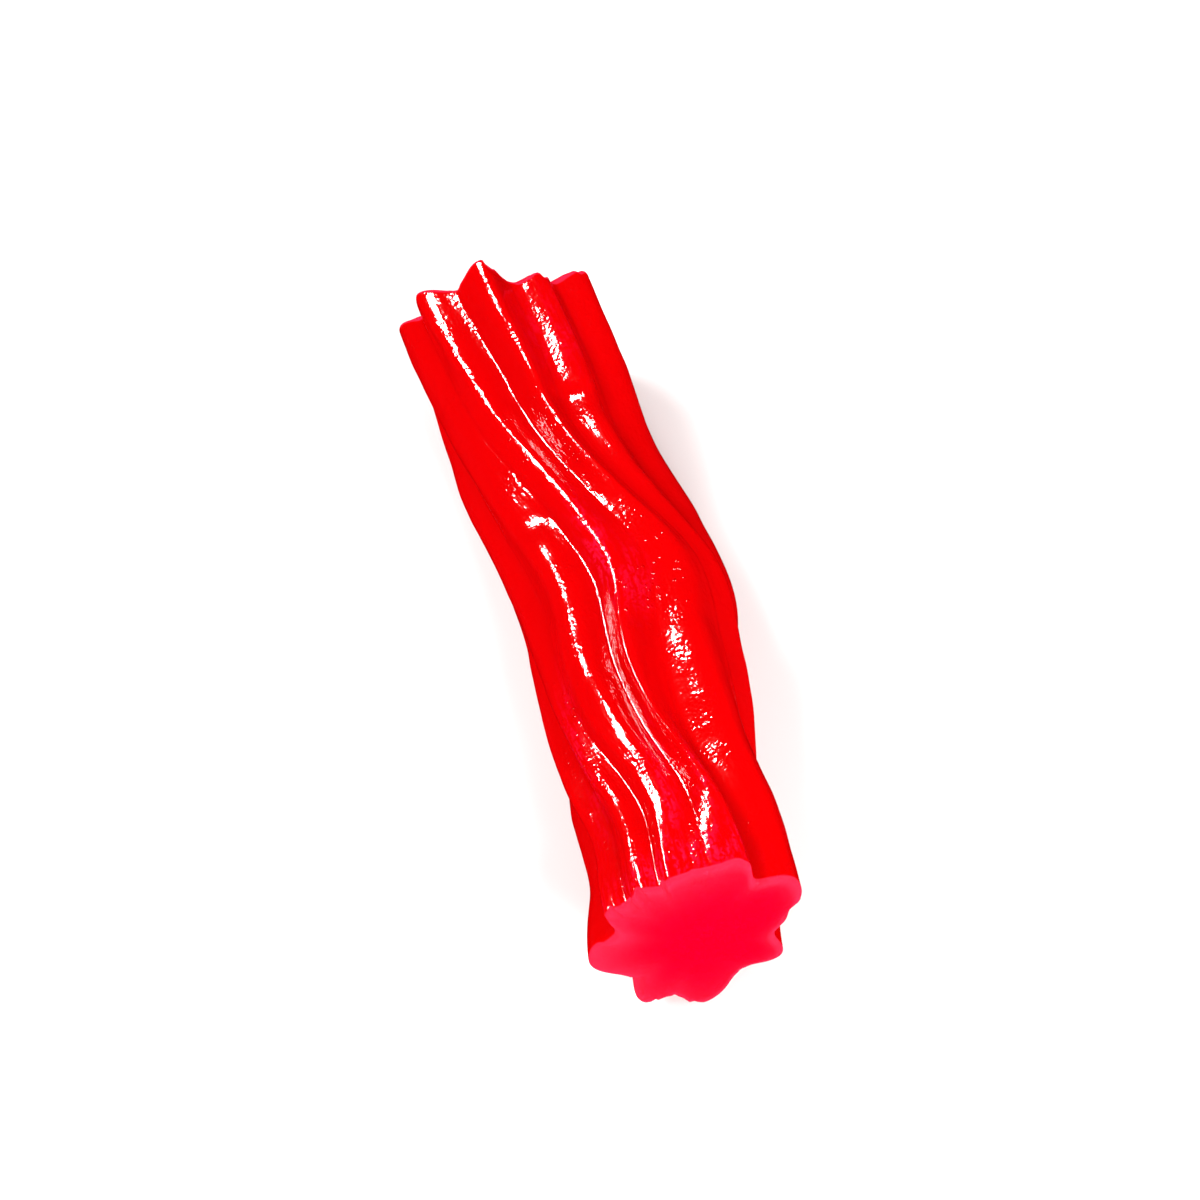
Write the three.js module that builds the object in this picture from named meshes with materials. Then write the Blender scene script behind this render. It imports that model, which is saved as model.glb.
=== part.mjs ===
// Red licorice: one short stick of soft candy, pushed out through a fluted die, twisted while
// still warm and chopped off at both ends. Millimetres, +Z up. The stick lies along Y on its
// settled underside, and the cut that looks along -Y is the near one. The origin is the middle
// of the bottom of its bounding box.
import * as THREE from 'three';

// ---- Driving dimensions (millimetres and degrees) ----

// The stick's axis and its size across the flutes, at equal steps from the near cut to the far.
const LENGTH = 61.3;
const SIDEWAYS = [-0.35, 1.1, 0.8, 1.35, 2.3, 1.1, -0.3, -0.75, -1.35];
const HALF_WIDTH = [8.9, 8.6, 8.5, 8.7, 9.5, 9.1, 8.7, 8.9, 9.0];
const HALF_HEIGHT = [8.75, 8.9, 8.9, 8.8, 8.7, 8.6, 8.4, 8.5, 8.7];
const AXIS_HEIGHT = [9.0, 8.7, 8.5, 8.3, 8.1, 8.0, 8.0, 8.3, 8.8];

// The nine flutes, in order round the stick. Every list runs in equal steps from the near cut
// to the far. `turn` is where the crest stands, in degrees from +X towards +Z, so the twist is
// the change along it. `crest` is how far the crest stands proud of the size above, and
// `groove` how deep the groove before the next crest is. `floor` is the share of the way to the
// next crest where that groove is deepest. Above a `width` of 1 the groove is wide and the
// crest narrow, and below 1 the crest is round and the groove a sharp fold.
const FLUTES = [
  {
    turn: [-33, -18, 8, 33, 55, 58, 60], crest: [-0.2, -0.6, 0.7, 0.1, -0.2, -0.4, -0.7],
    groove: [1.9, 1.0, 0.4, 1.5, 1.6], floor: [0.34, 0.4, 0.5, 0.6, 0.6], width: 1.2,
  }, {
    turn: [24, 36, 49, 61, 84, 92, 98], crest: [1, 0.1, 0.5, 0.2, 0.5, 0.6, 0.6],
    groove: [1.7, 2.7, 0.75, 1.5, 1.4], floor: [0.6, 0.52, 0.5, 0.5, 0.5], width: 1,
  }, {
    turn: [57, 82, 98, 99, 110, 128, 142], crest: [0.4, 0.2, 0.2, 0.2, 0.2],
    groove: [0.2, 1.8, 1.3, 0.2, 1.2], floor: [0.5, 0.26, 0.4, 0.4, 0.4], width: 0.8,
  }, {
    turn: [101, 113, 134, 135, 148, 165, 178], crest: [-0.5, 0.1, 0.2, 0.2, 0.2],
    groove: [0.6, 0.8, 0.45, 0.8, 1.1, 1.35, 1.4], floor: [0.4, 0.42, 0.5, 0.5, 0.5], width: 0.8,
  }, {
    turn: [121, 136, 155, 168, 182, 200, 210], crest: [0, 0.2, 0.3, 0.2, 0.1],
    groove: [0.6, 1.2, 1.3, 1.5, 1.4], floor: [0.46, 0.48, 0.5, 0.5, 0.5], width: 0.8,
  }, {
    turn: [142, 159, 178, 200, 215, 232, 245], crest: [0.5, 0.4, 0.4, 0.2, 0.1],
    groove: [1.9, 1.8, 1.6, 1.5, 1.5], floor: [0.38, 0.45, 0.5, 0.5, 0.5], width: 1.2,
  }, {
    turn: [178, 197, 214, 236, 256, 278, 300], crest: [0.4, 0.4, 0.4, 0.3, 0.2],
    groove: [2.0, 1.9, 1.8, 1.8, 1.7], floor: [0.5, 0.5, 0.5, 0.5, 0.5], width: 1.2,
  }, {
    turn: [233, 250, 268, 290, 308, 326, 345], crest: [-0.4, 0, 0, 0.1, 0.2],
    groove: [1.3, 1.5, 1.6, 1.7, 1.7], floor: [0.54, 0.5, 0.5, 0.5, 0.5], width: 1.2,
  }, {
    turn: [267, 292, 315, 342, 366, 382, 396], crest: [-0.1, 0.2, 0.3, 0.4, 0.5],
    groove: [1.9, 1.7, 1.5, 1.2, 1.0], floor: [0.6, 0.6, 0.6, 0.6, 0.6], width: 1.2,
  },
];

// Creases and dents where the soft stick was bent and pressed: how far along, round and deep.
const CREASES = [
  { along: 0.78, turn: 76, reach: 1.3, spread: 24, depth: 0.35 },
  { along: 0.60, turn: 132, reach: 1.6, spread: 16, depth: 0.40 },
  { along: 0.45, turn: 78, reach: 3.6, spread: 26, depth: 0.35 },
  { along: 0.70, turn: 125, reach: 5.0, spread: 26, depth: 0.20 },
];

// The underside has settled: its grooves are shallower over this much of a turn.
const SETTLED_TURN = -90;
const SETTLED_SPREAD = 42;
const SETTLED_SHARE = 0.75;

// The cuts lean: `rise` tips the face up or down, `swing` turns it to the side.
// The blade has dragged the crests of the far cut out along Y, by `drag` of their relief.
const NEAR_CUT = { rise: 18, swing: 0 };
const FAR_CUT = { rise: 5, swing: -6, drag: 0.6 };
const DRAG_REACH = 3;
const RIM_ROUND = 0.5;

// Mesh density, and the loops that fill a cut face as shares of its size.
const STEPS_PER_FLUTE = 9;
const STEPS_ALONG = 46;
const FACE_SHARES = [0.45, 0.8, 1];

// ---- Shape ----

const { lerp, clamp, degToRad } = THREE.MathUtils;
const bell = (distance, reach) => Math.exp(-((distance / reach) ** 2));
const wrapped = (angle) => angle - 360 * Math.round(angle / 360);

// A smooth curve through equally spaced values, read at v from 0 to 1 (a Catmull-Rom spline).
function along(values, v) {
  const spans = values.length - 1;
  const k = Math.min(spans - 1, Math.floor(v * spans));
  const at = (i) => values[clamp(i, 0, spans)];
  const startSlope = (at(k + 1) - at(k - 1)) / 2;
  const endSlope = (at(k + 2) - at(k)) / 2;
  const f = v * spans - k;
  const step = f * f * (3 - 2 * f);
  const leave = f * (1 - f) * (1 - f);
  const arrive = f * f * (1 - f);
  return lerp(at(k), at(k + 1), step) + leave * startSlope - arrive * endSlope;
}

// The direction and the radius offset a share x of the way from the crest of flute k to the next.
function flutePoint(k, x, v) {
  const flute = FLUTES[k];
  const next = FLUTES[(k + 1) % FLUTES.length];
  const lap = k + 1 === FLUTES.length ? 360 : 0;
  const angle = lerp(along(flute.turn, v), along(next.turn, v) + lap, x);
  const crest = lerp(along(flute.crest, v), along(next.crest, v), x * x * (3 - 2 * x));
  const floor = along(flute.floor, v);
  const phase = x + (0.5 - floor) / (floor * (1 - floor)) * x * (1 - x);
  const tip = ((1 + Math.cos(2 * Math.PI * phase)) / 2) ** flute.width;
  const underside = bell(wrapped(angle - SETTLED_TURN), SETTLED_SPREAD);
  const settled = SETTLED_SHARE * underside * Math.sin(Math.PI * v);
  let offset = crest - along(flute.groove, v) * (1 - tip) * (1 - settled);
  for (const crease of CREASES) {
    const near = bell((v - crease.along) * LENGTH, crease.reach);
    offset -= crease.depth * near * bell(wrapped(angle - crease.turn), crease.spread);
  }
  return { angle, offset };
}

// One point of the section at v. The rims are rounded by an inset and a push along Y, and
// `share` scales the section down to the smaller loops that fill a cut face.
function sectionPoint(k, x, v, { inset = 0, push = 0, share = 1 }) {
  const { angle, offset } = flutePoint(k, x, v);
  const across = share * (along(HALF_WIDTH, v) + offset - inset) * Math.cos(degToRad(angle));
  const up = share * (along(HALF_HEIGHT, v) + offset - inset) * Math.sin(degToRad(angle));
  const rise = Math.tan(degToRad(lerp(NEAR_CUT.rise, FAR_CUT.rise, v)));
  const swing = Math.tan(degToRad(lerp(NEAR_CUT.swing, FAR_CUT.swing, v)));
  const drag = FAR_CUT.drag * offset * share ** 4 * bell((1 - v) * LENGTH, DRAG_REACH);
  return new THREE.Vector3(
    along(SIDEWAYS, v) + across,
    LENGTH * (v - 0.5) + rise * up + swing * across + drag + push,
    Math.max(0, along(AXIS_HEIGHT, v) + up),
  );
}

// All loops of points, from the middle of the near cut over the skin to that of the far cut.
function loopsOfPoints() {
  const around = FLUTES.length * STEPS_PER_FLUTE;
  const loop = (v, change) => Array.from({ length: around }, (_, i) => {
    const k = Math.floor(i / STEPS_PER_FLUTE);
    return sectionPoint(k, (i % STEPS_PER_FLUTE) / STEPS_PER_FLUTE, v, change);
  });
  const half = RIM_ROUND * (1 - Math.SQRT1_2);
  const face = (v) => FACE_SHARES.map((share) => loop(v, { inset: RIM_ROUND, share }));
  const rim = (v, side) => loop(v, { inset: half, push: side * half });
  const skin = Array.from({ length: STEPS_ALONG + 1 }, (_, j) => {
    const v = j / STEPS_ALONG;
    return loop(v, { push: RIM_ROUND * (1 - 2 * v) });
  });
  return [...face(0), rim(0, 1), ...skin, rim(1, -1), ...face(1).reverse()];
}

// The closed body: a band of triangles between neighbouring loops, and a fan in each middle.
function stickGeometry() {
  const loops = loopsOfPoints();
  const around = loops[0].length;
  const index = [];
  for (let j = 0; j + 1 < loops.length; j++) {
    for (let i = 0; i < around; i++) {
      const a = j * around + i;
      const b = j * around + (i + 1) % around;
      index.push(a, b + around, b, a, a + around, b + around);
    }
  }
  const middleOf = (loop) => loop
    .reduce((sum, p) => sum.add(p), new THREE.Vector3())
    .divideScalar(around);
  const points = [...loops.flat(), middleOf(loops[0]), middleOf(loops[loops.length - 1])];
  const lastLoop = (loops.length - 1) * around;
  const nearMiddle = points.length - 2;
  const farMiddle = points.length - 1;
  for (let i = 0; i < around; i++) {
    const next = (i + 1) % around;
    index.push(nearMiddle, i, next, farMiddle, lastLoop + next, lastLoop + i);
  }

  const geometry = new THREE.BufferGeometry().setFromPoints(points);
  geometry.setIndex(index);
  geometry.computeBoundingBox();
  const box = geometry.boundingBox;
  const middle = box.getCenter(new THREE.Vector3());
  geometry.translate(-middle.x, -middle.y, -box.min.z);
  geometry.computeVertexNormals();
  return geometry;
}

// ---- Scene graph ----

const softCandy = new THREE.MeshStandardMaterial({ color: 0xe8040a, roughness: 0.3, metalness: 0 });
const stick = new THREE.Mesh(stickGeometry(), softCandy);
stick.name = 'licorice_stick';

const model = new THREE.Group();
model.add(stick);
export default model;
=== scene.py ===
# %% [markdown]
# # A piece of red licorice
#
# The real thing is a stick of soft candy. A warm dough of sugar, flour and syrup is pushed
# through a star-shaped die, twisted while it is still soft, and chopped into short sticks.
# So it has three surfaces to get right: a glossy fluted skin that winds round the stick, two
# matte cut faces, and a flat stretch underneath where it has settled under its own weight.
#
# This notebook builds that one piece. The solid part is already there, packed as a fixed
# frame, and the piece made here takes its place: the same form, with the fine relief, the
# pebbly skin and the glow of translucent candy.

import math

import bpy
import numpy as np
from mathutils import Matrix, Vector


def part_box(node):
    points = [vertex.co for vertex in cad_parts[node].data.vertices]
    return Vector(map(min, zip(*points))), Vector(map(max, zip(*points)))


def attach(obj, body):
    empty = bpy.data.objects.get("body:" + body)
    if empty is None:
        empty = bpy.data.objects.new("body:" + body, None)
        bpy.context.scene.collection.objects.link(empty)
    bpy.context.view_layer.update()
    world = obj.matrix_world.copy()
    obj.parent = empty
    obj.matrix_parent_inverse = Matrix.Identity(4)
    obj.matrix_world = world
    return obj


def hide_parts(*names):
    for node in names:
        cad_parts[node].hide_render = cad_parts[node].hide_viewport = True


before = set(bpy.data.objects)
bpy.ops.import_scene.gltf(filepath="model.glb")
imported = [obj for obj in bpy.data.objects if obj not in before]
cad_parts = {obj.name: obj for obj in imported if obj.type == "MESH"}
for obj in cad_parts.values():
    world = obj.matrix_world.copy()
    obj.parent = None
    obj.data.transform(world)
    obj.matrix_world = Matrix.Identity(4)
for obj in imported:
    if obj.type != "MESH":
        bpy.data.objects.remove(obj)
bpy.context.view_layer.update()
NODE = "licorice_stick"
node_low, node_high = (np.array(corner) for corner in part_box(NODE))
MM = 0.001                      # one millimetre in Blender's metres
print("solid:", np.round((node_high - node_low) / MM, 1), "mm")

# %% [markdown]
# ## The camera
#
# The photograph looks down on the piece from its near end with a long lens, which keeps the
# far end almost as wide as the near one. A camera is easiest to place by what it looks at: a
# point inside the piece, two angles and a distance. The lens then follows from how many
# millimetres the frame should show at that distance.

# %% Place the camera
VIEW_CENTRE = (-0.65, 2.10, 9.0)     # mm, the point in the middle of the frame
VIEW_AZIMUTH = -15.0                 # degrees, 0 looks along +Y
VIEW_ELEVATION = 65.0                # degrees above the table
VIEW_DISTANCE = 360.0                # mm
FRAME_WIDTH = 102.8                  # mm shown across the frame at that distance
SENSOR = 36.0                        # mm
CLIP_START = 10.0                    # mm


def direction(azimuth, elevation):
    """The unit vector from the subject towards a viewer at these angles, in degrees."""
    a, e = math.radians(azimuth), math.radians(elevation)
    return Vector((math.sin(a) * math.cos(e), -math.cos(a) * math.cos(e), math.sin(e)))


def aim(obj, target, away):
    """Put an object at target + away and turn its -Z axis, the way it looks, at the target."""
    obj.location = target + away
    obj.rotation_euler = (-away).to_track_quat("-Z", "Y").to_euler()


camera = bpy.data.objects.new("camera", bpy.data.cameras.new("camera"))
camera.data.sensor_width = SENSOR
camera.data.lens = SENSOR * VIEW_DISTANCE / FRAME_WIDTH
camera.data.clip_start = CLIP_START * MM
centre = Vector(VIEW_CENTRE) * MM
aim(camera, centre, direction(VIEW_AZIMUTH, VIEW_ELEVATION) * VIEW_DISTANCE * MM)
bpy.context.collection.objects.link(camera)
bpy.context.scene.camera = camera
print("lens:", round(camera.data.lens, 1), "mm")

# %% [markdown]
# ## The form as a function
#
# The stick is a surface of two parameters. One, `v`, runs from the near cut to the far one.
# The other runs round the stick, from the crest of one flute to the next. Working in flutes
# and not in degrees has a big advantage: the mesh lines follow the twist, so every crest and
# groove is crisp, however few faces it gets.
#
# The sizes below are the real ones, in millimetres and degrees, at equal steps from the near
# cut to the far one. Each flute has a row: where its crest stands, how far it stands proud,
# how deep the groove after it is and where that groove is deepest. The change of a crest's
# place along its row is the twist. Creases are dents where the soft stick was bent and pressed.

# %% The sizes of the stick
LENGTH = 61.3
SIDEWAYS = [-0.35, 1.1, 0.8, 1.35, 2.3, 1.1, -0.3, -0.75, -1.35]
HALF_WIDTH = [8.9, 8.6, 8.5, 8.7, 9.5, 9.1, 8.7, 8.9, 9.0]
HALF_HEIGHT = [8.75, 8.9, 8.9, 8.8, 8.7, 8.6, 8.4, 8.5, 8.7]
AXIS_HEIGHT = [9.0, 8.7, 8.5, 8.3, 8.1, 8.0, 8.0, 8.3, 8.8]

# Equal steps from the near cut to the far | turn of the crest | how proud the crest stands |
# depth of the groove after it | where that groove is deepest | above 1 its floor is wide
FLUTES = [
    ((-33, -18, 8, 33, 55, 58, 60), (-0.2, -0.6, 0.7, 0.1, -0.2, -0.4, -0.7),
     (1.9, 1.0, 0.4, 1.5, 1.6), (0.34, 0.4, 0.5, 0.6, 0.60), 1.2),
    ((24, 36, 49, 61, 84, 92, 98), (1, 0.1, 0.5, 0.2, 0.5, 0.6, 0.6),
     (1.7, 2.7, 0.75, 1.5, 1.4), (0.60, 0.52, 0.5, 0.5, 0.50), 1.0),
    ((57, 82, 98, 99, 110, 128, 142), (0.4, 0.2, 0.2, 0.2, 0.2), (0.2, 1.8, 1.3, 0.2, 1.2),
     (0.50, 0.26, 0.4, 0.4, 0.40), 0.8),
    ((101, 113, 134, 135, 148, 165, 178), (-0.5, 0.1, 0.2, 0.2, 0.2),
     (0.6, 0.8, 0.45, 0.8, 1.1, 1.35, 1.4), (0.40, 0.42, 0.5, 0.5, 0.50), 0.8),
    ((121, 136, 155, 168, 182, 200, 210), (0.0, 0.2, 0.3, 0.2, 0.1), (0.6, 1.2, 1.3, 1.5, 1.4),
     (0.46, 0.48, 0.5, 0.5, 0.50), 0.8),
    ((142, 159, 178, 200, 215, 232, 245), (0.5, 0.4, 0.4, 0.2, 0.1), (1.9, 1.8, 1.6, 1.5, 1.5),
     (0.38, 0.45, 0.5, 0.5, 0.50), 1.2),
    ((178, 197, 214, 236, 256, 278, 300), (0.4, 0.4, 0.4, 0.3, 0.2), (2.0, 1.9, 1.8, 1.8, 1.7),
     (0.50, 0.50, 0.5, 0.5, 0.50), 1.2),
    ((233, 250, 268, 290, 308, 326, 345), (-0.4, 0, 0, 0.1, 0.2), (1.3, 1.5, 1.6, 1.7, 1.7),
     (0.54, 0.50, 0.5, 0.5, 0.50), 1.2),
    ((267, 292, 315, 342, 366, 382, 396), (-0.1, 0.2, 0.3, 0.4, 0.5), (1.9, 1.7, 1.5, 1.2, 1.0),
     (0.60, 0.60, 0.6, 0.6, 0.60), 1.2),
]

# share along, turn, reach along in mm, spread in degrees, depth in mm
CREASES = [
    (0.78, 76, 1.3, 24, 0.35),
    (0.60, 132, 1.6, 16, 0.40),
    (0.45, 78, 3.6, 26, 0.35),
    (0.70, 125, 5.0, 26, 0.20),
]

# The underside has settled: its grooves are shallower over this much of a turn.
SETTLED_TURN = -90
SETTLED_SPREAD = 42
SETTLED_SHARE = 0.75

# Both cuts lean up and to the side, in degrees. The blade dragged the far crests along Y, by
# a share of their relief that fades within the reach. Rims are rounded. All reaches are in mm.
NEAR_RISE, FAR_RISE = 18, 5
NEAR_SWING, FAR_SWING = 0, -6
FAR_DRAG = 0.6
DRAG_REACH = 3
RIM_ROUND = 0.5
SKIN_INSET = 0.03               # keeps the finer crests inside the solid's box
print(len(FLUTES), "flutes over", LENGTH, "mm")

# %% [markdown]
# A few small functions do most of the work. A Catmull-Rom curve passes smoothly through
# equally spaced values, which suits sizes read off at even steps. A bell is a soft bump or
# dent that fades within a stated reach.

# %% Curves and bells


def curve(values, v):
    """Catmull-Rom: between two values, a smoothstep blend plus the slopes at both ends."""
    values = np.asarray(values, dtype=float)
    spans = len(values) - 1
    k = np.minimum(spans - 1, np.floor(v * spans).astype(int))
    f = v * spans - k
    before, start = values[np.maximum(k - 1, 0)], values[k]
    end, after = values[k + 1], values[np.minimum(k + 2, spans)]
    step = f * f * (3 - 2 * f)
    leave, arrive = f * (1 - f) ** 2, f * f * (1 - f)
    return start + (end - start) * step + leave * (end - before) / 2 - arrive * (after - start) / 2


def mix(near, far, v):
    """A straight blend from near to far."""
    return near + (far - near) * v


def bell(distance, reach):
    """exp(-(distance / reach)^2): one in the middle, almost nothing past twice the reach."""
    return np.exp(-((distance / reach) ** 2))


def wrapped(angle):
    """An angle in degrees brought to within half a turn of zero."""
    return angle - 360 * np.round(angle / 360)


print("half width at a third:", round(float(curve(HALF_WIDTH, np.array(1 / 3))), 2), "mm")

# %% [markdown]
# ## The section of the stick
#
# At one place along the stick, the section is an ellipse with flutes on it. Between two
# crests the radius first follows a smooth line from crest to crest, and a groove is then
# taken out of it: one minus a raised cosine. A power on the cosine sets its style. Above one
# the groove is wide and the crest narrow, and below one the crest is round and the groove a
# sharp fold. A quadratic shift of the phase moves the deepest line to one side, because a
# twisted flute leans over.

# %% The section
AROUND_FLUTE = 32
AROUND = AROUND_FLUTE * len(FLUTES)


def section(v):
    """Angle (degrees), radius offset (mm) and phase of every point round, one row for each v.

    angle = straight blend of the two crests' turns; phase = share of the way, shifted so that
    the groove is deepest at its floor; offset = smooth blend of the two crests, minus groove
    depth times (1 - raised cosine ^ width), minus the creases.
    """
    v = v[:, None]
    x = np.arange(AROUND_FLUTE)[None, :] / AROUND_FLUTE
    angles, offsets, phases = [], [], []
    for k, (turn, crest, groove, floor, width) in enumerate(FLUTES):
        next_turn, next_crest = FLUTES[(k + 1) % len(FLUTES)][:2]
        lap = 360 if k + 1 == len(FLUTES) else 0
        angle = mix(curve(turn, v), curve(next_turn, v) + lap, x)
        top = mix(curve(crest, v), curve(next_crest, v), x * x * (3 - 2 * x))
        deepest = curve(floor, v)
        phase = x + (0.5 - deepest) / (deepest * (1 - deepest)) * x * (1 - x)
        tip = ((1 + np.cos(2 * np.pi * phase)) / 2) ** width
        underside = bell(wrapped(angle - SETTLED_TURN), SETTLED_SPREAD)
        settled = SETTLED_SHARE * underside * np.sin(np.pi * v)
        offset = top - curve(groove, v) * (1 - tip) * (1 - settled)
        for place, turned, reach, spread, depth in CREASES:
            near = bell((v - place) * LENGTH, reach)
            offset -= depth * near * bell(wrapped(angle - turned), spread)
        angles.append(angle)
        offsets.append(offset)
        phases.append(phase)
    return np.hstack(angles), np.hstack(offsets), np.hstack(phases)


flutes_half_way = section(np.array([0.5]))[1]
print("flutes half way along:", round(float(np.ptp(flutes_half_way)), 2), "mm high")

# %% [markdown]
# The surface is one section after another. Each row of points has four numbers: how far along
# its section lies, how much smaller it is all round, how far it is pushed along Y, and what
# share of the full size it has. The inset and the push round a rim, and the share shrinks a
# loop towards the middle of a cut face. The sections lean as the cuts do, and the lean changes
# evenly from one cut to the other.

# %% The surface


def surface(v, inset, push, share):
    """Points in mm, one row for each v: the section scaled by share, shrunk by inset, on a
    plane that leans with the cuts, and pushed along Y. Also the phase of every point."""
    angle, offset, phase = section(v)
    v, inset, push, share = (a[:, None] for a in (v, inset, push, share))
    turn = np.radians(angle)
    across = share * (curve(HALF_WIDTH, v) + offset - inset - SKIN_INSET) * np.cos(turn)
    up = share * (curve(HALF_HEIGHT, v) + offset - inset - SKIN_INSET) * np.sin(turn)
    rise = np.tan(np.radians(mix(NEAR_RISE, FAR_RISE, v)))
    swing = np.tan(np.radians(mix(NEAR_SWING, FAR_SWING, v)))
    drag = FAR_DRAG * offset * share ** 4 * bell((1 - v) * LENGTH, DRAG_REACH)
    x = curve(SIDEWAYS, v) + across
    y = LENGTH * (v - 0.5) + rise * up + swing * across + drag + push
    z = curve(AXIS_HEIGHT, v) + up
    return np.stack([x, y, z], axis=-1), phase


# %% [markdown]
# ## From the middle of one cut to the middle of the other
#
# One grid covers the whole piece without a seam. It starts as small loops in the near cut
# face, grows to the rim, turns over the rounded rim in a quarter circle, runs along the skin,
# and closes in the far face the same way.

# %% Lay out the rows
FACE_LOOPS = 13
SMALLEST_LOOP = 0.06            # its share of the full size
RIM_STEPS = 4
ROWS_ALONG = 300
face_share = np.linspace(SMALLEST_LOOP, 1, FACE_LOOPS)
rim_turn = np.linspace(0, np.pi / 2, RIM_STEPS + 2)[1:-1]
skin_v = np.linspace(0, 1, ROWS_ALONG)


def stack(near, skin):
    """A row value for near face, near rim, skin, far rim and far face, the last two mirrored."""
    face, rim, sign = near
    return np.concatenate([face, rim, skin, sign * rim[::-1], sign * face[::-1]])


flat = np.zeros(FACE_LOOPS)
row_v = np.concatenate([flat, rim_turn * 0, skin_v, rim_turn * 0 + 1, flat + 1])
row_inset = stack((flat + RIM_ROUND, RIM_ROUND * (1 - np.sin(rim_turn)), 1), skin_v * 0)
row_push = stack((flat, RIM_ROUND * (1 - np.cos(rim_turn)), -1), RIM_ROUND * (1 - 2 * skin_v))
row_share = stack((face_share, rim_turn * 0 + 1, 1), skin_v * 0 + 1)
points, phase = surface(row_v, row_inset, row_push, row_share)
print("rows:", len(row_v), "points round:", AROUND, "triangles:", 2 * len(row_v) * AROUND)

# %% [markdown]
# ## Fine relief
#
# The ridges of a real stick swell and thin out, because the dough was soft when it was
# twisted, and the die leaves faint lines along them. Both are smooth noise: random values at
# the corners of a lattice, blended in between. The lattice lies in the surface's own two
# directions and wraps round the stick, so the relief follows the twist and never shows a seam.

# %% Noise that wraps round the stick
SEED = 7
GIRTH = 60.0                                        # mm round the flutes, about
chance = np.random.default_rng(SEED)
row_y = row_v * LENGTH                              # mm along the stick
round_share = np.arange(AROUND) / AROUND            # 0 to 1 round the stick


def lattice_noise(round_mm, along_mm):
    """Smooth noise between -1 and 1 with cells of these sizes: random values at the corners
    of a lattice, blended by smoothstep in both directions, wrapping round."""
    cells_round = max(3, round(GIRTH / round_mm))
    cells_along = max(2, round(LENGTH / along_mm))
    values = chance.uniform(-1, 1, (cells_along + 2, cells_round))
    a, b = row_y / LENGTH * cells_along, round_share * cells_round
    i, j = np.floor(a).astype(int), np.floor(b).astype(int)
    fa, fb = (a - i)[:, None], (b - j)[None, :]
    fa, fb = fa * fa * (3 - 2 * fa), fb * fb * (3 - 2 * fb)
    i, j, j_next = i[:, None], j[None, :], (j[None, :] + 1) % cells_round
    low = mix(values[i, j], values[i, j_next], fb)
    high = mix(values[i + 1, j], values[i + 1, j_next], fb)
    return mix(low, high, fa)


# height, cell round the stick and cell along it, all in mm
NOISES = [
    (0.10, 4.5, 8.0),           # broad swells
    (0.07, 2.4, 4.0),           # smaller swells
    (0.030, 1.2, 1.7),          # lumps
    (0.018, 0.9, 14),           # lines drawn by the die
]
FOLD_DEPTH, FOLD_WIDTH = 0.07, 0.04     # mm, and as a share of the way between two crests
relief = sum(height * lattice_noise(*cells) for height, *cells in NOISES)
relief -= FOLD_DEPTH * bell(phase - 0.5, FOLD_WIDTH)
print("swells, lumps and lines:", round(float(np.ptp(relief)), 2), "mm from low to high")

# %% [markdown]
# Some marks stand alone, such as a kink where the bent skin buckled. Each is placed one by one, a
# bell along the stick times a bell round it. The rims are torn: noise that only changes round
# the stick is cut to its positive half, and it fades within a millimetre of the rim.
#
# All relief is lowered until nothing stands above the plain form. Carving then only takes
# away, so the piece keeps its size.

# %% Kinks and torn rims
turn_all = section(row_v)[0]


def spots(rows):
    """A sum of soft spots on the skin: strength times a bell along times a bell round."""
    return sum(strength * bell((row_v[:, None] - place) * LENGTH, reach)
               * bell(wrapped(turn_all - turned), spread)
               for place, turned, reach, spread, strength in rows)


# share along, turn, reach along in mm, spread in degrees, depth in mm
KINKS = [
    (0.795, 70, 0.8, 14, 0.17),
    (0.400, 70, 0.9, 24, 0.12),
    (0.10, 89, 6.0, 6, 0.22),
]
FACE_SIZE = 9.0                 # mm from the middle of a cut to its rim, about
TORN_REACH = 0.7                # mm from the rim
TORN_DENT = 0.10                # mm carved into the skin
TORN_BACK = 0.40                # mm pulled back along Y
FINE_TEAR, BROAD_TEAR = 1.0, 2.4    # mm round the rim
from_rim = np.minimum(row_y, LENGTH - row_y) + (1 - row_share) * FACE_SIZE
torn = lattice_noise(FINE_TEAR, LENGTH) + 0.6 * lattice_noise(BROAD_TEAR, LENGTH)
torn = np.clip(torn, 0, 1) * bell(from_rim, TORN_REACH)[:, None]
relief -= spots(KINKS) + TORN_DENT * torn
relief -= relief.max()
print("relief:", round(float(relief.min()), 2), "to", round(float(relief.max()), 2), "mm")

# %% [markdown]
# To carve relief into a surface, each point moves along its normal. On a grid the normal is
# the cross product of the two directions in which neighbouring points lie, and numpy gets it
# for all points at once. The cut faces stay plain, so only the full-size rows are carved.
# Whatever would sink below the table is then pressed flat on it.

# %% Carve it and settle the piece on the table


def normals(grid):
    """Unit normals of a grid of points: the cross product of the steps round and along."""
    step_round = np.roll(grid, -1, axis=1) - np.roll(grid, 1, axis=1)
    step_along = np.gradient(grid, axis=0)
    n = np.cross(step_along, step_round)
    return n / np.maximum(np.linalg.norm(n, axis=-1, keepdims=True), 1e-12)


carved = (row_share >= 1)[:, None]
points += normals(points) * (relief * carved)[..., None]
points[..., 1] += TORN_BACK * torn * np.where(row_v < 0.5, 1, -1)[:, None]
points[..., 2] = np.maximum(points[..., 2], 0)
low, high = points.reshape(-1, 3).min(axis=0), points.reshape(-1, 3).max(axis=0)
middle = (low + high) / 2
solid_middle = (node_low + node_high) / 2 / MM
points[..., :2] += (solid_middle - middle)[:2]
print("piece:", np.round(high - low, 2), "mm")

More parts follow.
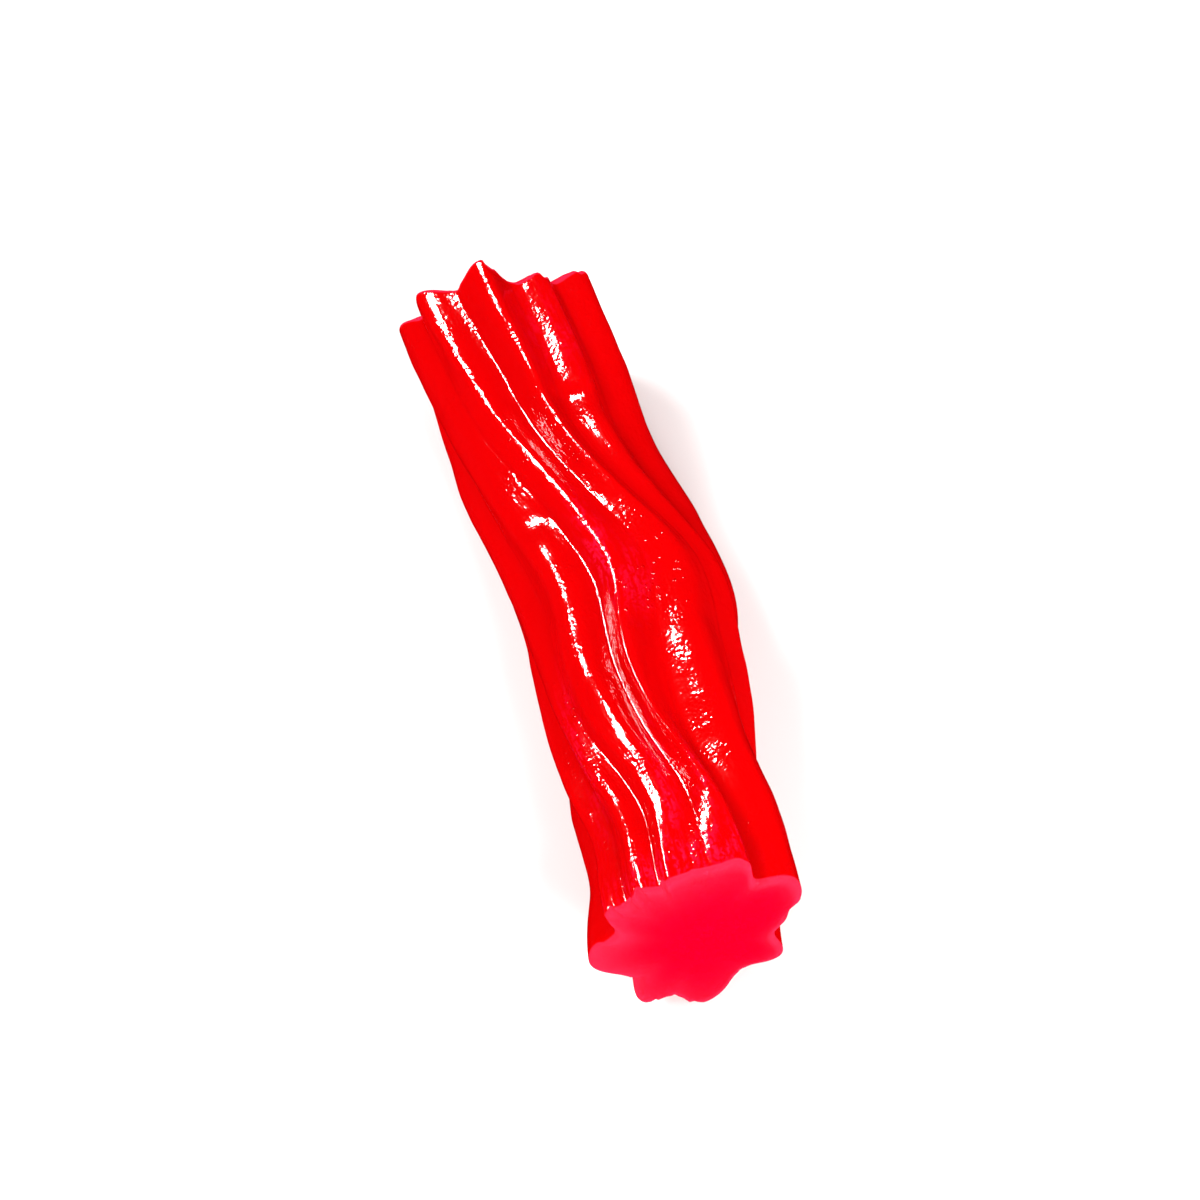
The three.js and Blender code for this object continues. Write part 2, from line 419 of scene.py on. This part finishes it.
# %% [markdown]
# ## The mesh
#
# Neighbouring rows are joined by quads, and one point in the middle of each cut face closes
# the ends. What the material must know about a place is stored with the mesh, as attributes:
# a number or a vector for each vertex, which an Attribute node reads.

# %% Build the mesh


def grid_mesh(name, grid):
    """A closed mesh from a grid of points that wraps round, with a fan at each end."""
    rows, round_count = grid.shape[:2]
    ids = np.arange(rows * round_count).reshape(rows, round_count)
    beside = np.roll(ids, -1, axis=1)
    quads = np.stack([ids[:-1], ids[1:], beside[1:], beside[:-1]], axis=-1).reshape(-1, 4)
    ends = [grid[0].mean(axis=0), grid[-1].mean(axis=0)]
    first, last = rows * round_count, rows * round_count + 1
    near_fan = np.stack([ids[0], beside[0], np.full(round_count, first)], axis=-1)
    far_fan = np.stack([beside[-1], ids[-1], np.full(round_count, last)], axis=-1)
    vertices = np.vstack([grid.reshape(-1, 3), ends]) * MM
    mesh = bpy.data.meshes.new(name)
    mesh.from_pydata(vertices.tolist(), [], quads.tolist() + near_fan.tolist() + far_fan.tolist())
    mesh.validate()
    mesh.shade_smooth()
    return mesh


def add_attribute(mesh, name, grid):
    """A number or a vector for each vertex, readable in a material by an Attribute node."""
    width = grid.shape[2]
    kind, slot = {1: ("FLOAT", "value"), 3: ("FLOAT_VECTOR", "vector")}[width]
    ends = [grid[0].mean(axis=0), grid[-1].mean(axis=0)]
    values = np.vstack([grid.reshape(-1, width), ends])
    attribute = mesh.attributes.new(name, kind, "POINT")
    attribute.data.foreach_set(slot, values.astype(np.float32).ravel())


mesh = grid_mesh("red_licorice", points)
licorice = bpy.data.objects.new("red_licorice", mesh)
bpy.context.collection.objects.link(licorice)
print("faces:", len(mesh.polygons))

# %% [markdown]
# Five attributes say where a point is. `skin` is 1 on the skin and 0 on the cut faces and
# their rims. Another is 1 on the rim of a cut and fades over its face, slowest from one side:
# it sets where a paler, pinker sheen is painted on the cut. A third marks the patches where
# handling has dulled the glaze, where a pinker sheen is painted too, and `pebbled` the ones
# where pimples gather. `lay` is the skin rolled onto a plain cylinder, in millimetres and
# squeezed along, so that a pattern read from it is drawn out along the flutes and follows their
# twist.

# %% Say where things are
# share along, turn, reach along in mm, spread in degrees, strength
# rubbed spots: the film thins there, and a pinker sheen is painted on
RUBBED_AND_SHEEN_SPOTS = [
    (0.52, 103, 4.5, 6, 1.0),
    (0.46, 88, 3.0, 8, 0.5),
    (0.11, 99, 7.0, 5, 0.8),
    (0.10, 78, 6.0, 4, 0.6),
    (0.02, 100, 1.4, 34, 0.9),
    (0.03, 66, 2.0, 12, 0.5),
    (0.24, 145, 6.0, 6, 0.6),
    (0.90, 70, 4.0, 16, 0.3),
]
PEBBLED = [
    (0.44, 96, 3.0, 5, 1.0),
    (0.45, 83, 3.0, 3, 0.9),
    (0.48, 73, 4.0, 7, 1.0),
    (0.45, 64, 2.5, 6, 1.0),
    (0.26, 143, 5.0, 5, 0.8),
    (0.12, 103, 6.0, 4, 0.8),
    (0.12, 82, 7.0, 5, 0.7),
    (0.70, 92, 5.0, 9, 0.7),
    (0.72, 118, 3.0, 6, 0.6),
]
on_skin = np.repeat((row_inset == 0)[:, None], AROUND, axis=1)

# painted sheen on a cut = the larger of share^4 times a cosine that peaks on one side, and
# share^10 / 2
SHEEN_TURN = 170
sheen_side = (1 + np.cos(np.radians(turn_all - SHEEN_TURN))) / 2
share = row_share[:, None]
cut_sheen = np.where(share < 1, np.maximum(share ** 4 * sheen_side, 0.5 * share ** 10), 1)

SQUEEZE = 4                     # how many times longer a pattern gets along the stick
roll = 2 * np.pi * round_share
circle = np.stack([np.cos(roll), np.sin(roll)])[:, None]
across_roll = share * circle * GIRTH / (2 * np.pi)
along_roll = np.repeat(row_y[:, None] / SQUEEZE, AROUND, axis=1)

for name, values in (("skin", on_skin), ("cut_sheen", cut_sheen), ("rubbed_and_sheen", spots(RUBBED_AND_SHEEN_SPOTS)),
                     ("pebbled", spots(PEBBLED))):
    add_attribute(mesh, name, np.clip(values, 0, 1)[..., None])
add_attribute(mesh, "lay", np.stack([*across_roll, along_roll], axis=-1))
print("attributes:", [a.name for a in mesh.attributes if not a.name.startswith(".")])

# %% [markdown]
# ## The material
#
# Licorice candy is a dense, translucent paste of sugar and wheat flour, coloured all through
# and glazed with a thin film of oil. Light goes in, loses all but its red, and comes out a
# millimetre or two further on, which is what subsurface scattering does. The paste by itself
# is matte, as its cuts show. All of the gloss is the film's, so it is a coat on the skin alone.

# %% Helpers for materials
COLOUR_A, COLOUR_B, COLOUR_OUT = 6, 7, 2      # the colour sockets of a Mix node


def colour(hex_text):
    """An sRGB hex colour as the linear values that Blender works in."""
    srgb = np.array([int(hex_text[i:i + 2], 16) for i in (1, 3, 5)]) / 255
    linear = np.where(srgb <= 0.04045, srgb / 12.92, ((srgb + 0.055) / 1.055) ** 2.4)
    return (*linear.tolist(), 1.0)


def add_node(tree, kind, inputs=(), **settings):
    """Add a node, set its own properties, and give its sockets values or links."""
    node = tree.nodes.new(kind)
    for key, value in settings.items():
        setattr(node, key, value)
    for socket, value in dict(inputs).items():
        if isinstance(value, bpy.types.NodeSocket):
            tree.links.new(value, node.inputs[socket])
        else:
            node.inputs[socket].default_value = value
    return node


def new_material(name):
    """An empty material and its tree."""
    material = bpy.data.materials.new(name)
    material.use_nodes = True
    material.node_tree.nodes.clear()
    return material, material.node_tree


print("half grey in linear light:", round(colour("#808080")[0], 3))

# %% [markdown]
# ### The pebbly skin
#
# The skin looks smooth but is finely pebbled, so a highlight breaks up into grains at its
# edges. Grain, shallow dimples and tiny pimples are patterns in space, and the lines that the
# die drew are a pattern on the rolled-out skin. Each takes its scale from its size on the real
# one. The flour's own grain is too fine to show, so grain is drawn as coarse as 0.3 mm.
#
# Heights are in millimetres too: each pattern is scaled to its height, the heights are added,
# and one Bump node whose distance is one millimetre turns them into a surface.

# %% Patterns and heights
PER_MM = 1 / MM                 # turns metres into a pattern's cells per millimetre

# size of a cell in mm, and how much finer detail is laid over it
GRAIN = (0.30, 0.5)
DIMPLES = (1.1, 2.0)
PATCHES = (2.6, 2.0)
DRAWN = (0.45, 1.0)
PIMPLE_SPACING = 0.62           # mm

# heights in mm
SMOOTH_GRAIN, PEBBLY_GRAIN = 0.012, 0.045
DIMPLE_DEPTH = 0.04
DRAWN_DEPTH = 0.03
PIMPLE_HEIGHT = 0.10


def skin_patterns(tree, place):
    """Grain, dimples and patches in space, and drawn lines on the rolled-out skin, which is
    in millimetres already: smooth noise between 0 and 1, each at its own cell size."""
    lay = add_node(tree, "ShaderNodeAttribute", attribute_name="lay").outputs["Vector"]
    return (add_node(tree, "ShaderNodeTexNoise", {
                "Vector": vector, "Scale": per_mm / size, "Detail": detail}).outputs["Fac"]
            for vector, per_mm, (size, detail) in (
                (place, PER_MM, GRAIN), (place, PER_MM, DIMPLES), (place, PER_MM, PATCHES),
                (lay, 1, DRAWN)))


def skin_height(tree, place, grain, dimples, patches, drawn):
    """Height in mm: grain, higher on the pebbly patches, plus dimples, drawn lines and
    pimples. Pimples are soft dots at random, dense where the mesh says so and few elsewhere."""
    pebbly = add_node(tree, "ShaderNodeMapRange", {
        "Value": patches, "From Min": 0.46, "From Max": 0.60,
        "To Min": SMOOTH_GRAIN, "To Max": PEBBLY_GRAIN})
    height = add_node(tree, "ShaderNodeMath", {
        0: grain, 1: pebbly.outputs["Result"]}, operation="MULTIPLY").outputs["Value"]

    cells = add_node(tree, "ShaderNodeTexVoronoi", {
        "Vector": place, "Scale": PER_MM / PIMPLE_SPACING})
    pimples = add_node(tree, "ShaderNodeMapRange", {
        "Value": cells.outputs["Distance"], "From Min": 0.04, "From Max": 0.30,
        "To Min": PIMPLE_HEIGHT, "To Max": 0.0}, interpolation_type="SMOOTHSTEP")
    few = add_node(tree, "ShaderNodeMapRange", {
        "Value": patches, "From Min": 0.48, "From Max": 0.57, "To Max": 0.2})
    pebbled = add_node(tree, "ShaderNodeAttribute", attribute_name="pebbled").outputs["Fac"]
    cluster = add_node(tree, "ShaderNodeMath", {
        0: pebbled, 1: few.outputs["Result"]}, operation="ADD", use_clamp=True)

    for pattern, scale in ((dimples, DIMPLE_DEPTH), (drawn, DRAWN_DEPTH),
                           (pimples.outputs["Result"], cluster.outputs["Value"])):
        height = add_node(tree, "ShaderNodeMath", {
            0: pattern, 1: scale, 2: height}, operation="MULTIPLY_ADD").outputs["Value"]
    return height


print("finest pattern:", GRAIN[0], "mm")

# %% [markdown]
# ### Red, with painted sheen where rubbed and on the cuts
#
# The glazed skin is the deepest red. Where handling has rubbed it dull, it is painted a little
# paler and pinker: a painted sheen for the haze of light on the rougher glaze. A cut gets the
# same painted sheen, most at its rim and on one side. Rubbing is never even, so the soft spots
# that the mesh marks are broken up by the drawn lines and by the grain.

# %% Rubbed patches, painted sheen and colour
# The second colour of each pair is painted sheen: paler, pinker red where rubbed and at a cut's
# rim.
GLAZED_RED, PAINTED_SHEEN_RED = "#C80002", "#DA1038"
CUT_RED, PAINTED_CUT_SHEEN_RED = "#D6001D", "#E0203E"


def dullness_and_sheen(tree, drawn, grain):
    """How dull the skin is, which also sets how much pinker sheen is painted on it, 0 to 1: the
    mark on the mesh times drawn lines times grain.
    """
    dull_and_sheen = add_node(tree, "ShaderNodeAttribute", attribute_name="rubbed_and_sheen").outputs["Fac"]
    for pattern, bare, full in ((drawn, 0.42, 0.60), (grain, 0.36, 0.52)):
        broken = add_node(tree, "ShaderNodeMapRange", {
            "Value": pattern, "From Min": bare, "From Max": full}).outputs["Result"]
        dull_and_sheen = add_node(tree, "ShaderNodeMath", {
            0: dull_and_sheen, 1: broken}, operation="MULTIPLY").outputs["Value"]
    return dull_and_sheen


def candy_red(tree, skin, dull_and_sheen):
    """Skin: glazed red blends to a pinker painted sheen where rubbed. Cut: plain red blends to a
    painted sheen at the rim.
    """
    cut_sheen = add_node(tree, "ShaderNodeAttribute", attribute_name="cut_sheen").outputs["Fac"]
    on_cut, glazed = (
        add_node(tree, "ShaderNodeMix", {
            "Factor": share, COLOUR_A: colour(bare), COLOUR_B: colour(full)},
            data_type="RGBA").outputs[COLOUR_OUT]
        for share, bare, full in ((cut_sheen, CUT_RED, PAINTED_CUT_SHEEN_RED), (dull_and_sheen, GLAZED_RED, PAINTED_SHEEN_RED)))
    return add_node(tree, "ShaderNodeMix", {
        "Factor": skin, COLOUR_A: on_cut, COLOUR_B: glazed},
        data_type="RGBA").outputs[COLOUR_OUT]


print("glazed red:", np.round(colour(GLAZED_RED)[:3], 3))

# %% [markdown]
# ### Soft candy
#
# The paste has a sugar syrup's IOR, and half of it scatters under the surface, red 1.6 mm
# far and the other colours hardly at all. It mirrors nothing itself, so its specular level is
# zero. An oil's IOR is near 1.47. The film's is set higher, until the ridges glint as hard as
# the real ones. It covers the skin, thins where that is rubbed, and is missing on the cuts.

# %% Put the candy together


def soft_candy():
    """Glazed red licorice: translucent red paste, a pebbly glossy skin, matte cut faces."""
    material, tree = new_material("soft_candy")
    place = add_node(tree, "ShaderNodeTexCoord").outputs["Object"]
    skin = add_node(tree, "ShaderNodeAttribute", attribute_name="skin").outputs["Fac"]
    grain, dimples, patches, drawn = skin_patterns(tree, place)
    bump = add_node(tree, "ShaderNodeBump", {
        "Height": skin_height(tree, place, grain, dimples, patches, drawn),
        "Strength": 1.0, "Distance": MM}).outputs["Normal"]
    # how dull the glaze is; the same value sets the painted sheen
    dull_and_sheen = dullness_and_sheen(tree, drawn, grain)

    gloss = add_node(tree, "ShaderNodeMapRange", {
        "Value": dull_and_sheen, "To Min": 0.13, "To Max": 0.30})
    rough = add_node(tree, "ShaderNodeMix", {
        "Factor": skin, "A": 0.85, "B": gloss.outputs["Result"]})
    kept = add_node(tree, "ShaderNodeMapRange", {"Value": dull_and_sheen, "To Min": 1.0, "To Max": 0.4})
    film = add_node(tree, "ShaderNodeMath", {
        0: skin, 1: kept.outputs["Result"]}, operation="MULTIPLY")

    shader = add_node(tree, "ShaderNodeBsdfPrincipled", {
        "Base Color": candy_red(tree, skin, dull_and_sheen),
        "Roughness": rough.outputs["Result"],
        "IOR": 1.45,
        "Specular IOR Level": 0.0,
        "Coat Weight": film.outputs["Value"],
        "Coat Roughness": 0.085,
        "Coat IOR": 1.75,
        "Subsurface Weight": 0.5,
        "Subsurface Radius": (1.6, 0.05, 0.08),
        "Subsurface Scale": MM,
        "Normal": bump,
        "Coat Normal": bump})
    add_node(tree, "ShaderNodeOutputMaterial", {"Surface": shader.outputs["BSDF"]})
    return material


licorice.data.materials.append(soft_candy())
print("material:", licorice.data.materials[0].name)

# %% [markdown]
# ## Table and light
#
# The look of this candy is saturated red with hard white highlights. A photographer gets it
# with one strong, fairly small lamp behind the subject, whose mirror image the ridges catch,
# and soft fill from all round that lifts the shadows. The fill must not be mirrored, or it
# would lay a grey veil over the red, so glossy rays see neither the world nor the table. Two
# weaker panels in front and at the side light the cut face and the right flank. Seen from
# the photograph's side they have no ridge to glint on, and they give the back its gloss.

# %% The table
TABLE_HALF = 1.5                # m


def pale_table():
    """Matte white board."""
    material, tree = new_material("pale_table")
    shader = add_node(tree, "ShaderNodeBsdfPrincipled", {
        "Base Color": colour("#F2F0EF"), "Roughness": 0.8, "Specular IOR Level": 0.1})
    add_node(tree, "ShaderNodeOutputMaterial", {"Surface": shader.outputs["BSDF"]})
    return material


corners = [(-1, -1), (1, -1), (1, 1), (-1, 1)]
table_mesh = bpy.data.meshes.new("table")
table_mesh.from_pydata([(TABLE_HALF * x, TABLE_HALF * y, 0) for x, y in corners], [],
                       [(0, 1, 2, 3)])
table = bpy.data.objects.new("table", table_mesh)
table.data.materials.append(pale_table())
table.visible_glossy = False
bpy.context.collection.objects.link(table)
print("table:", 2 * TABLE_HALF, "m wide")

# %% [markdown]
# A lamp panel is placed the way the camera is, by two angles and a distance from the piece.
# The picture is shown with the Standard view, which keeps a red this pure as it is.

# %% Lamps and world
FILL = 0.48


def softbox(name, azimuth, elevation, distance, size, power):
    """A square lamp panel that faces the piece from these angles; sizes in metres, watts."""
    light = bpy.data.lights.new(name, "AREA")
    light.shape = "SQUARE"
    light.size = size
    light.energy = power
    lamp = bpy.data.objects.new(name, light)
    aim(lamp, centre, direction(azimuth, elevation) * distance)
    bpy.context.collection.objects.link(lamp)
    print("lamp:", name, power, "W")


softbox("key", -131, 52, 0.5, 0.16, 2.6)
softbox("front", 10, 33, 0.2, 0.05, 0.36)
softbox("side", 62, 28, 0.5, 0.12, 0.8)

world = bpy.data.worlds.new("studio")
world.use_nodes = True
background = world.node_tree.nodes["Background"]
background.inputs["Color"].default_value = (1, 1, 1, 1)
background.inputs["Strength"].default_value = FILL
world.cycles_visibility.glossy = False
bpy.context.scene.world = world
bpy.context.scene.view_settings.view_transform = "Standard"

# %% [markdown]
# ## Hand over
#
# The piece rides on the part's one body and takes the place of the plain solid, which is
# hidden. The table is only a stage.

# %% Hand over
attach(licorice, "root")
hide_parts(NODE)
